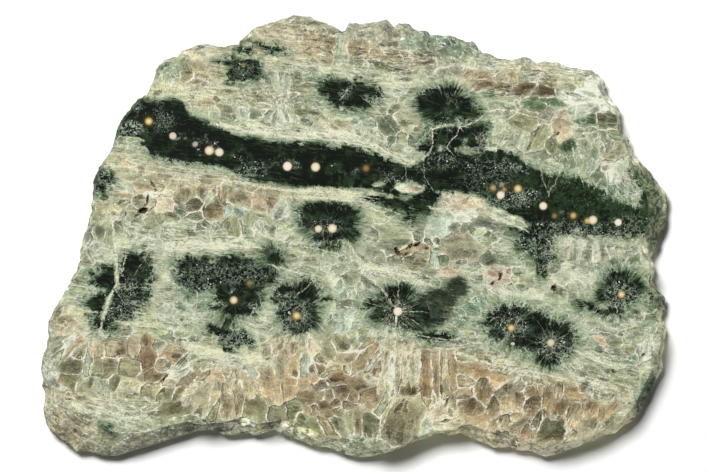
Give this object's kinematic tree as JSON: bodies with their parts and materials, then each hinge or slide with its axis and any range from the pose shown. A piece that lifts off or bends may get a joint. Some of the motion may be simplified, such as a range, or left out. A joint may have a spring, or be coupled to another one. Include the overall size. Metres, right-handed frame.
{
  "type": "ocean jasper slab",
  "caption": "Flat sawn slab of ocean jasper with a polished top face, a sawn back to rest on and a rough natural rim.",
  "frame": {"origin": "centre of the slab's footprint, on its sawn back", "axes": "+Z from the sawn back to the polished face, +X along the slab's longest side"},
  "size_m": [0.157, 0.111, 0.009],
  "materials": {
    "jasper": "polished face, rough natural rim, patterned in dark green, grey-green, cream and tan with small pale orbs"
  },
  "bodies": {
    "root": {"slab": "jasper"}
  },
  "joints": []
}
